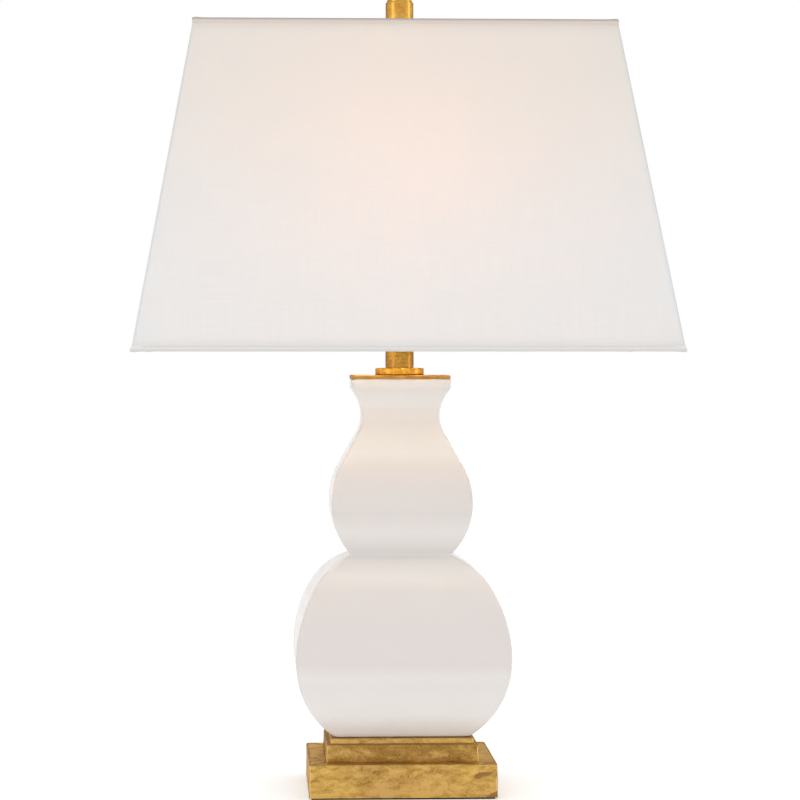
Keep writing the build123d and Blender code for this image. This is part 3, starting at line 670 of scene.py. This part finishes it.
def wovenCloth(name, c):
    # plain-woven cotton on stiff backing: matt, faint slubs, light glows through it
    material, tree, bsdf = newMaterial(name)
    uv = addNode(tree, "TexCoord").outputs["UV"]
    warpWay = addNode(tree, "Mapping", {"Vector": uv, "Scale": (each(c["thread"]), each(c["slub"]), 1)})
    weftWay = addNode(tree, "Mapping", {"Vector": uv, "Scale": (each(c["slub"]), each(c["thread"]), 1)})
    warp = addNode(tree, "TexNoise", {"Vector": warpWay.outputs[0], "Scale": 1, "Detail": 2})
    weft = addNode(tree, "TexNoise", {"Vector": weftWay.outputs[0], "Scale": 1, "Detail": 2})
    weave = addNode(tree, "Math", {0: warp.outputs["Fac"], 1: weft.outputs["Fac"]}, operation="ADD")
    tone = addNode(tree, "MapRange", {"Value": weave.outputs[0], **span(0.7, 1.3)})
    threads = addNode(tree, "Mix", {0: tone.outputs[0], 6: linear(c["deep"]), 7: linear(c["light"])},
                      data_type="RGBA")
    # painted shade: darker and warmer towards the top
    topShadeShare = addNode(tree, "Attribute", attribute_name="topShadeShare")
    topShaded = addNode(tree, "Mix", {0: topShadeShare.outputs["Fac"], 6: threads.outputs[2], 7: linear(c["paintedTopShade"])},
                   data_type="RGBA")
    # painted shade: grey along the ribs, by the hems and on the hems' rolls
    paintedShade = addNode(tree, "Attribute", attribute_name="paintedShade")
    colour = addNode(tree, "Mix", {0: paintedShade.outputs["Fac"], 6: topShaded.outputs[2], 7: linear(c["paintedShadeColour"])},
                     data_type="RGBA")
    tree.links.new(colour.outputs[2], bsdf.inputs["Base Color"])
    bsdf.inputs["Roughness"].default_value = 0.85
    bsdf.inputs["Specular IOR Level"].default_value = 0.25
    bsdf.inputs["Sheen Weight"].default_value = 0.1
    bump = addNode(tree, "Bump", {"Height": weave.outputs[0], "Strength": 0.18, "Distance": 0.2 * mm})
    tree.links.new(bump.outputs["Normal"], bsdf.inputs["Normal"])
    glow = addNode(tree, "BsdfTranslucent", {"Color": linear(c["warm"])})
    both = addNode(tree, "MixShader", {0: c["through"], 1: bsdf.outputs[0], 2: glow.outputs[0]})
    tree.links.new(both.outputs[0], tree.nodes["Material Output"].inputs["Surface"])
    return material


liner = {"light": "#F1F0EE", "deep": "#ECEAE6", "cloud": 30, "through": 0.6, "roughness": (0.45, 0.6)}


def styreneLiner(f):
    # white styrene film inside the shade: smooth, slightly satin, passes light
    material, tree, bsdf = newMaterial("styreneLiner")
    coords = addNode(tree, "TexCoord").outputs["Object"]
    cloud = addNode(tree, "TexNoise", {"Vector": coords, "Scale": each(f["cloud"]), "Detail": 3})
    colour = addNode(tree, "Mix", {0: cloud.outputs["Fac"], 6: linear(f["light"]), 7: linear(f["deep"])},
                     data_type="RGBA")
    tree.links.new(colour.outputs[2], bsdf.inputs["Base Color"])
    rough = addNode(tree, "MapRange", {"Value": cloud.outputs["Fac"], **span(0, 1, *f["roughness"])})
    tree.links.new(rough.outputs[0], bsdf.inputs["Roughness"])
    glow = addNode(tree, "BsdfTranslucent", {"Color": linear(f["light"])})
    both = addNode(tree, "MixShader", {0: f["through"], 1: bsdf.outputs[0], 2: glow.outputs[0]})
    tree.links.new(both.outputs[0], tree.nodes["Material Output"].inputs["Surface"])
    return material


shade = {
    "thickness": 1.2,
    "columns": 64, "rows": 44, "gathering": 1.6,  # faces of a panel, smaller towards its edges
    "bow": 0.7,  # how far the cloth draws in between the hems, at the middle
    "bowReach": 25,  # from a corner, over which the cloth comes free of the ribs
    "ripple": 0.22, "rippleSize": 55,
    "edgeRound": 0.9,
    "cornerShade": 0.2, "cornerReach": 1.2,  # painted shade: how grey the cloth turns along the ribs, and how far from them
    "lowShade": 0.16, "highShade": 0.18, "hemReach": 5.5,  # the same painted shade towards the hems
    "paintedTopShade": (0.2, 1.05),  # share of the height where the painted top shade starts, and where it would be full
}


def gathered(step, steps, power):
    # from -1 at the first step to 1 at the last, in steps that are shorter towards both ends
    place = 2 * step / steps - 1
    return math.copysign(1 - (1 - abs(place)) ** power, place)


def makePanel(name, node, turn, halfLow, halfHigh, outLow, outHigh, s, materials):
    # a trapezium of cloth facing -Y before it is turned; u runs across, v up the slope, both in metres
    low, high = (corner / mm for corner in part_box(node))
    spin = Matrix.Rotation(math.radians(turn), 3, "Z")
    slope = Vector((0, outLow - outHigh, high.z - low.z))
    rise = slope.length
    outward = Vector((0, -slope.z, slope.y)) / rise
    columns, rows = s["columns"], s["rows"]
    points, uvs, paintedShade, topShadeShare = [], [], [], []
    for layer in (0, 1):
        for row in range(rows + 1):
            v = 0.5 + gathered(row, rows, s["gathering"]) / 2
            half = halfLow + (halfHigh - halfLow) * v - layer * s["thickness"]
            for column in range(columns + 1):
                u = -gathered(column, columns, s["gathering"])
                place = Vector((u * half, -(outLow + (outHigh - outLow) * v), low.z + (high.z - low.z) * v))
                fromCorner = (1 - abs(u)) * half
                across = min(1, fromCorner / s["bowReach"])
                hold = across * math.sin(math.pi * v)
                ripple = s["ripple"] * noise.noise(spin @ place / s["rippleSize"])
                sway = hold * (ripple - s["bow"] * across)
                if layer == 0 and fromCorner < s["edgeRound"]:
                    drop = s["edgeRound"] - fromCorner
                    sway -= s["edgeRound"] - math.sqrt(max(s["edgeRound"] ** 2 - drop ** 2, 0))
                place += outward * (sway - layer * s["thickness"])
                points.append(spin @ place * mm)
                uvs.append((u * half * mm, v * rise * mm))
                # painted shade, grey along the ribs and towards the hems
                grey = s["cornerShade"] * math.exp(-(fromCorner / s["cornerReach"]) ** 2)
                grey = max(grey, s["lowShade"] * math.exp(-(v * rise / s["hemReach"]) ** 2))
                paintedShade.append(max(grey, s["highShade"] * math.exp(-((1 - v) * rise / s["hemReach"]) ** 2)))
                # painted shade, darker and warmer towards the top
                topShadeShare.append(smoothstep(v, *s["paintedTopShade"]))
    perRow = columns + 1
    perLayer = perRow * (rows + 1)
    faces, faceSlots = [], []
    for row in range(rows):
        for column in range(columns):
            a = row * perRow + column
            outer = (a, a + perRow, a + perRow + 1, a + 1)
            faces += [outer, tuple(perLayer + k for k in reversed(outer))]
            faceSlots += [0, 1]
    border = [(column, column + 1) for column in range(columns)]
    border += [(columns + row * perRow, columns + (row + 1) * perRow) for row in range(rows)]
    border += [(rows * perRow + column + 1, rows * perRow + column) for column in range(columns)]
    border += [((row + 1) * perRow, row * perRow) for row in range(rows)]
    for a, b in border:
        faces.append((a, b, perLayer + b, perLayer + a))
        faceSlots.append(0)
    piece = meshPiece(name, points, faces, materials, "shade", faceSlots=faceSlots, uvs=uvs,
                      attributes={"paintedShade": paintedShade, "topShadeShare": topShadeShare})
    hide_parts(node)


def makeShade(s, h, clothMaterial, hemMaterial, linerMaterial):
    front = [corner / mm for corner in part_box("shade_panel_front")]
    side = [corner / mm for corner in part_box("shade_panel_left")]
    halfWide, halfDeep = front[1].x, side[1].y
    lowZ, highZ = front[0].z, front[1].z
    slope = (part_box("shade_bottom_hem")[1].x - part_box("shade_top_hem")[1].x)
    slope /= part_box("shade_top_hem")[1].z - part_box("shade_bottom_hem")[1].z
    topDrop = slope * (highZ - lowZ)
    materials = [clothMaterial, linerMaterial]
    hems = [makeHem("shade_hem_top", "shade_top_hem", h["top"], slope, h, hemMaterial),
            makeHem("shade_hem_bottom", "shade_bottom_hem", h["bottom"], slope, h, hemMaterial)]
    for name, node, turn, half, out in (
        ("shade_cloth_front", "shade_panel_front", 0, halfWide, halfDeep),
        ("shade_cloth_right", "shade_panel_right", 90, halfDeep, halfWide),
        ("shade_cloth_back", "shade_panel_back", 180, halfWide, halfDeep),
        ("shade_cloth_left", "shade_panel_left", 270, halfDeep, halfWide),
    ):
        makePanel(name, node, turn, half, half - topDrop, out, out - topDrop, s, materials)
        hems = []


hem = {
    "corner": 2.0, "bead": 1.35,  # mm, half the thickness of the roll over the wire
    "halfPanel": 0.62,  # half the panel's thickness, and a hair of glue
    "lap": 0.03, "outerLap": 3.2, "innerLap": 3.0,  # the laps' thickness, and how far each reaches
    "pucker": 0.06, "puckerSize": 6,
    "gather": 3,  # mm from a corner, where the turned cloth bunches
    "steps": (120, 84, 10),  # sections along a long side, a short side and a corner
    "outerSteps": 12, "innerSteps": 8, "crestSteps": 12,  # points of a section
    # which way the roll faces, how much it bunches at corners, and painted shade: how grey its crest is and
    # from which height, how grey its face is, and how much darker and warmer it is
    "top": {"up": 1, "bunch": 0.35, "crest": 1.0, "crestFrom": -1.4, "face": 0.28, "topShadeShare": 1.0},
    "bottom": {"up": -1, "bunch": 0.5, "crest": 0.36, "crestFrom": -0.5, "face": 0.18, "topShadeShare": 0.0},
}


def hemSection(h):
    # the roll's outline, out from the panel's middle and up to the crest: lap outside, crest, lap inside
    def flank(lapLength, steps):
        spots = []
        for step in range(steps + 1):
            up = lapLength * (step / steps - 1)
            swell = smoothstep(up, -0.7 * lapLength, 0)
            spots.append((h["halfPanel"] + h["lap"] + (h["bead"] - h["halfPanel"] - h["lap"]) * swell, up))
        return spots

    outer, inner = flank(h["outerLap"], h["outerSteps"]), flank(h["innerLap"], h["innerSteps"])
    turns = [math.pi * k / h["crestSteps"] for k in range(1, h["crestSteps"])]
    crest = [(h["bead"] * math.cos(turn), h["bead"] * math.sin(turn)) for turn in turns]
    section = [(h["halfPanel"], -h["outerLap"])] + outer + crest
    section += [(-out, up) for out, up in reversed(inner)]
    section += [(-h["halfPanel"], -h["innerLap"]), (-h["halfPanel"], -h["bead"])]
    return section + [(h["halfPanel"], -h["bead"])]


def makeHem(name, node, way, slope, h, material):
    # cloth rolled over the frame's wire and lapped on the panel, fuller where it is gathered at corners
    low, high = (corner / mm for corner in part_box(node))
    radius = (high.z - low.z) / 2
    crestShift = way["up"] * (radius - h["bead"])
    section = hemSection(h)
    tilt = math.hypot(1, slope)
    loop = rectangleLoop(high.x - radius, high.y - radius, h["corner"], *h["steps"])
    points, uvs, paintedShade, run = [], [], [], 0
    for k, (spot, out, fromCorner) in enumerate(loop):
        run += (spot - loop[k - 1][0]).length if k else 0
        bunch = way["bunch"] * math.exp(-(fromCorner / h["gather"]) ** 2)
        middle = Vector((spot.x, spot.y, (low.z + high.z) / 2 + crestShift))
        pucker = h["pucker"] * noise.noise(middle / h["puckerSize"])
        for across, up in section:
            rolled = smoothstep(up, -h["bead"], 0)
            reach = across + math.copysign(bunch + pucker * rolled, across)
            rise = way["up"] * (up + (bunch + pucker) * max(up, 0) / h["bead"])
            sideways = out * (reach - rise * slope) / tilt
            points.append((middle + Vector((sideways.x, sideways.y, (rise + reach * slope) / tilt))) * mm)
            uvs.append((run * mm, up * mm))
            # painted shade: the face greys towards the roll, and its crest greyer still
            face = way["face"] * (1 + smoothstep(up, -h["outerLap"], 0)) / 2
            paintedShade.append(face + (way["crest"] - face) * smoothstep(up, way["crestFrom"], h["bead"] / 2))
    count, around = len(loop), len(section)
    faces = []
    for k in range(count):
        for step in range(around):
            after, ahead = (step + 1) % around, (k + 1) % count
            corners = (k * around + step, ahead * around + step, ahead * around + after, k * around + after)
            faces.append(corners[::way["up"]])
    piece = meshPiece(name, points, faces, [material], "shade", uvs=uvs,
                      attributes={"paintedShade": paintedShade, "topShadeShare": [way["topShadeShare"]] * len(points)})
    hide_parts(node)
    return piece


makeShade(shade, hem, wovenCloth("wovenCloth", cloth), wovenCloth("hemCloth", hemCloth),
          styreneLiner(liner))
print("shade: panels and hems")


# Metals and the small parts keep their CAD shapes

def turnedMetal(name, m):
    # turned or drawn metal: fine lathe lines round the axis, clouds of lacquer or tarnish
    material, tree, bsdf = newMaterial(name)
    coords = addNode(tree, "TexCoord").outputs["Object"]
    cloud = addNode(tree, "TexNoise", {"Vector": coords, "Scale": each(m["cloud"]), "Detail": 5,
                                       "Roughness": 0.6})
    tone = addNode(tree, "MapRange", {"Value": cloud.outputs["Fac"], **span(0.35, 0.65)})
    colour = addNode(tree, "Mix", {0: tone.outputs[0], 6: linear(m["deep"]), 7: linear(m["bright"])},
                     data_type="RGBA")
    tree.links.new(colour.outputs[2], bsdf.inputs["Base Color"])
    bsdf.inputs["Metallic"].default_value = 1.0
    bsdf.inputs["Specular Tint"].default_value = linear(m["edge"])
    flat = addNode(tree, "VectorMath", {0: coords, 1: (1, 1, 0)}, operation="MULTIPLY")
    radius = addNode(tree, "VectorMath", {0: flat.outputs[0]}, operation="LENGTH")
    split = addNode(tree, "SeparateXYZ", {0: coords})
    lathe = addNode(tree, "CombineXYZ", {0: radius.outputs["Value"], 1: split.outputs["Z"]})
    lines = addNode(tree, "TexNoise", {"Vector": lathe.outputs[0], "Scale": each(m["line"]), "Detail": 3})
    mixed = addNode(tree, "Math", {0: lines.outputs["Fac"], 1: cloud.outputs["Fac"]}, operation="ADD")
    rough = addNode(tree, "MapRange", {"Value": mixed.outputs[0], **span(0.6, 1.4, *m["roughness"])})
    tree.links.new(rough.outputs[0], bsdf.inputs["Roughness"])
    bsdf.inputs["Coat Weight"].default_value = m["lacquer"]
    bsdf.inputs["Coat Roughness"].default_value = 0.12
    bump = addNode(tree, "Bump", {"Height": lines.outputs["Fac"], "Strength": m["bump"],
                                  "Distance": 0.05 * mm})
    tree.links.new(bump.outputs["Normal"], bsdf.inputs["Normal"])
    return material


# the finial's and the neck tube's edge tints are darker than brass: a painted reflection of dark
# surroundings at their edges
finialBrass = {"bright": "#D9A84B", "deep": "#BD8730", "edge": "#8A6630", "cloud": 9, "line": 0.6,
               "roughness": (0.22, 0.36), "lacquer": 0.35, "bump": 0.15}
tubeBrass = {"bright": "#C4933A", "deep": "#A87526", "edge": "#8A6630", "cloud": 6, "line": 0.8,
             "roughness": (0.20, 0.34), "lacquer": 0.3, "bump": 0.15}
ringBrass = {"bright": "#F1B23E", "deep": "#D5922A", "edge": "#B88A48", "cloud": 4, "line": 0.7,
             "roughness": (0.2, 0.34), "lacquer": 0.3, "bump": 0.2}
plateBrass = {"bright": "#C7964C", "deep": "#A87535", "edge": "#B88A48", "cloud": 8, "line": 1.5,
              "roughness": (0.28, 0.42), "lacquer": 0.15, "bump": 0.25}
harpBrass = {"bright": "#D3B468", "deep": "#B8934A", "edge": "#E0C890", "cloud": 7, "line": 0.7,
             "roughness": (0.22, 0.38), "lacquer": 0.2, "bump": 0.12}
socketBrass = {"bright": "#D6B25A", "deep": "#BE9440", "edge": "#E0C890", "cloud": 11, "line": 0.9,
               "roughness": (0.2, 0.34), "lacquer": 0.3, "bump": 0.2}
zincSteel = {"bright": "#C3C4C2", "deep": "#9C9E9C", "edge": "#F2F2F2", "cloud": 6, "line": 0.7,
             "roughness": (0.3, 0.5), "lacquer": 0.0, "bump": 0.2}
nickelWire = {"bright": "#B9B4AB", "deep": "#948F86", "edge": "#F2F0EC", "cloud": 4, "line": 0.5,
              "roughness": (0.25, 0.4), "lacquer": 0.0, "bump": 0.1}
capAluminium = {"bright": "#D5D3CE", "deep": "#BCB9B2", "edge": "#F4F4F4", "cloud": 5, "line": 0.5,
                "roughness": (0.26, 0.4), "lacquer": 0.0, "bump": 0.15}


def mouldedPart(name, m):
    # moulded or pressed material that isn't metal: a fine grain in tone, gloss and relief
    material, tree, bsdf = newMaterial(name)
    coords = addNode(tree, "TexCoord").outputs["Object"]
    grain = addNode(tree, "TexNoise", {"Vector": coords, "Scale": each(m["grain"]), "Detail": 5,
                                       "Roughness": 0.65})
    tone = addNode(tree, "MapRange", {"Value": grain.outputs["Fac"], **span(0.35, 0.65)})
    colour = addNode(tree, "Mix", {0: tone.outputs[0], 6: linear(m["deep"]), 7: linear(m["bright"])},
                     data_type="RGBA")
    tree.links.new(colour.outputs[2], bsdf.inputs["Base Color"])
    rough = addNode(tree, "MapRange", {"Value": tone.outputs[0], **span(0, 1, *m["roughness"])})
    tree.links.new(rough.outputs[0], bsdf.inputs["Roughness"])
    bsdf.inputs["IOR"].default_value = m["ior"]
    bump = addNode(tree, "Bump", {"Height": grain.outputs["Fac"], "Strength": m["bump"],
                                  "Distance": 0.2 * mm})
    tree.links.new(bump.outputs["Normal"], bsdf.inputs["Normal"])
    return material


woolFelt = {"bright": "#4B3B2B", "deep": "#2C2118", "grain": 1.6,
            "roughness": (0.9, 1.0), "ior": 1.45, "bump": 0.9}
nylonBushing = {"bright": "#3A2C20", "deep": "#2B2018", "grain": 1.2,
                "roughness": (0.42, 0.55), "ior": 1.53, "bump": 0.15}
phenolicKnob = {"bright": "#33231A", "deep": "#20150F", "grain": 2.0,
                "roughness": (0.22, 0.34), "ior": 1.6, "bump": 0.1}
vulcanBoard = {"bright": "#6B5747", "deep": "#4C3C30", "grain": 1.5,
               "roughness": (0.7, 0.85), "ior": 1.5, "bump": 0.4}
blackGlass = {"bright": "#1E1B1D", "deep": "#100E10", "grain": 3.0,
              "roughness": (0.12, 0.22), "ior": 1.52, "bump": 0.05}
whiteEnamel = {"bright": "#EFEDE8", "deep": "#E3E0DA", "grain": 2.5,
               "roughness": (0.3, 0.42), "ior": 1.5, "bump": 0.12}
stemGlassFinish = {"bright": "#E9EEEC", "deep": "#DDE4E2", "grain": 4.0,
                   "roughness": (0.05, 0.12), "ior": 1.52, "bump": 0.05}

lampLight = {"glass": "#FFF3E4", "deep": "#F7E6D2", "frost": 1.2, "roughness": (0.18, 0.32),
             "light": "#FFEBD2", "strength": 36.0}


def opalGlass(b):
    # frosted opal bulb, lit: an even warm glow with a powdery inside coating
    material, tree, bsdf = newMaterial("opalGlass")
    coords = addNode(tree, "TexCoord").outputs["Object"]
    frost = addNode(tree, "TexNoise", {"Vector": coords, "Scale": each(b["frost"]), "Detail": 4})
    colour = addNode(tree, "Mix", {0: frost.outputs["Fac"], 6: linear(b["deep"]), 7: linear(b["glass"])},
                     data_type="RGBA")
    tree.links.new(colour.outputs[2], bsdf.inputs["Base Color"])
    rough = addNode(tree, "MapRange", {"Value": frost.outputs["Fac"], **span(0, 1, *b["roughness"])})
    tree.links.new(rough.outputs[0], bsdf.inputs["Roughness"])
    bsdf.inputs["IOR"].default_value = 1.52
    bsdf.inputs["Emission Color"].default_value = linear(b["light"])
    bsdf.inputs["Emission Strength"].default_value = b["strength"]
    return material


dress(turnedMetal("turnedFinialBrass", finialBrass), "finial")
dress(turnedMetal("agedTubeBrass", tubeBrass), "neck_tube")
dress(turnedMetal("turnedRingBrass", ringBrass), "neck_ring")
dress(turnedMetal("gildedPlateBrass", plateBrass), "neck_cap_plate")
dress(turnedMetal("harpBrass", harpBrass), "harp_saddle", "harp_wire", "harp_stud", "harp_sleeve_left",
      "harp_sleeve_right")
dress(turnedMetal("spunSocketBrass", socketBrass), "socket_cap", "socket_shell", "terminal_screws",
      "socket_contact", "switch_shaft", "socket_screw_shell")
dress(turnedMetal("zincSteel", zincSteel), "base_washer", "base_lock_washer", "base_nut", "neck_nut",
      "lamp_pipe", "socket_set_screw")
dress(turnedMetal("nickelWire", nickelWire), "bulb_leads", "bulb_filament", "bulb_contact")
dress(turnedMetal("capAluminium", capAluminium), "bulb_cap")
dress(mouldedPart("woolFelt", woolFelt), "felt_pad")
dress(mouldedPart("nylonBushing", nylonBushing), "cord_bushing")
dress(mouldedPart("phenolic", phenolicKnob), "switch_knob", "socket_block")
dress(mouldedPart("vulcanBoard", vulcanBoard), "socket_liner")
dress(mouldedPart("blackGlass", blackGlass), "bulb_insulator")
dress(mouldedPart("whiteEnamel", whiteEnamel), "shade_top_wire", "shade_bottom_wire", "shade_corner_ribs",
      "shade_spider_hub", "shade_spider_arms")
dress(mouldedPart("stemGlass", stemGlassFinish), "bulb_stem")
dress(opalGlass(lampLight), "bulb_glass")
print("finishes: CAD nodes dressed")
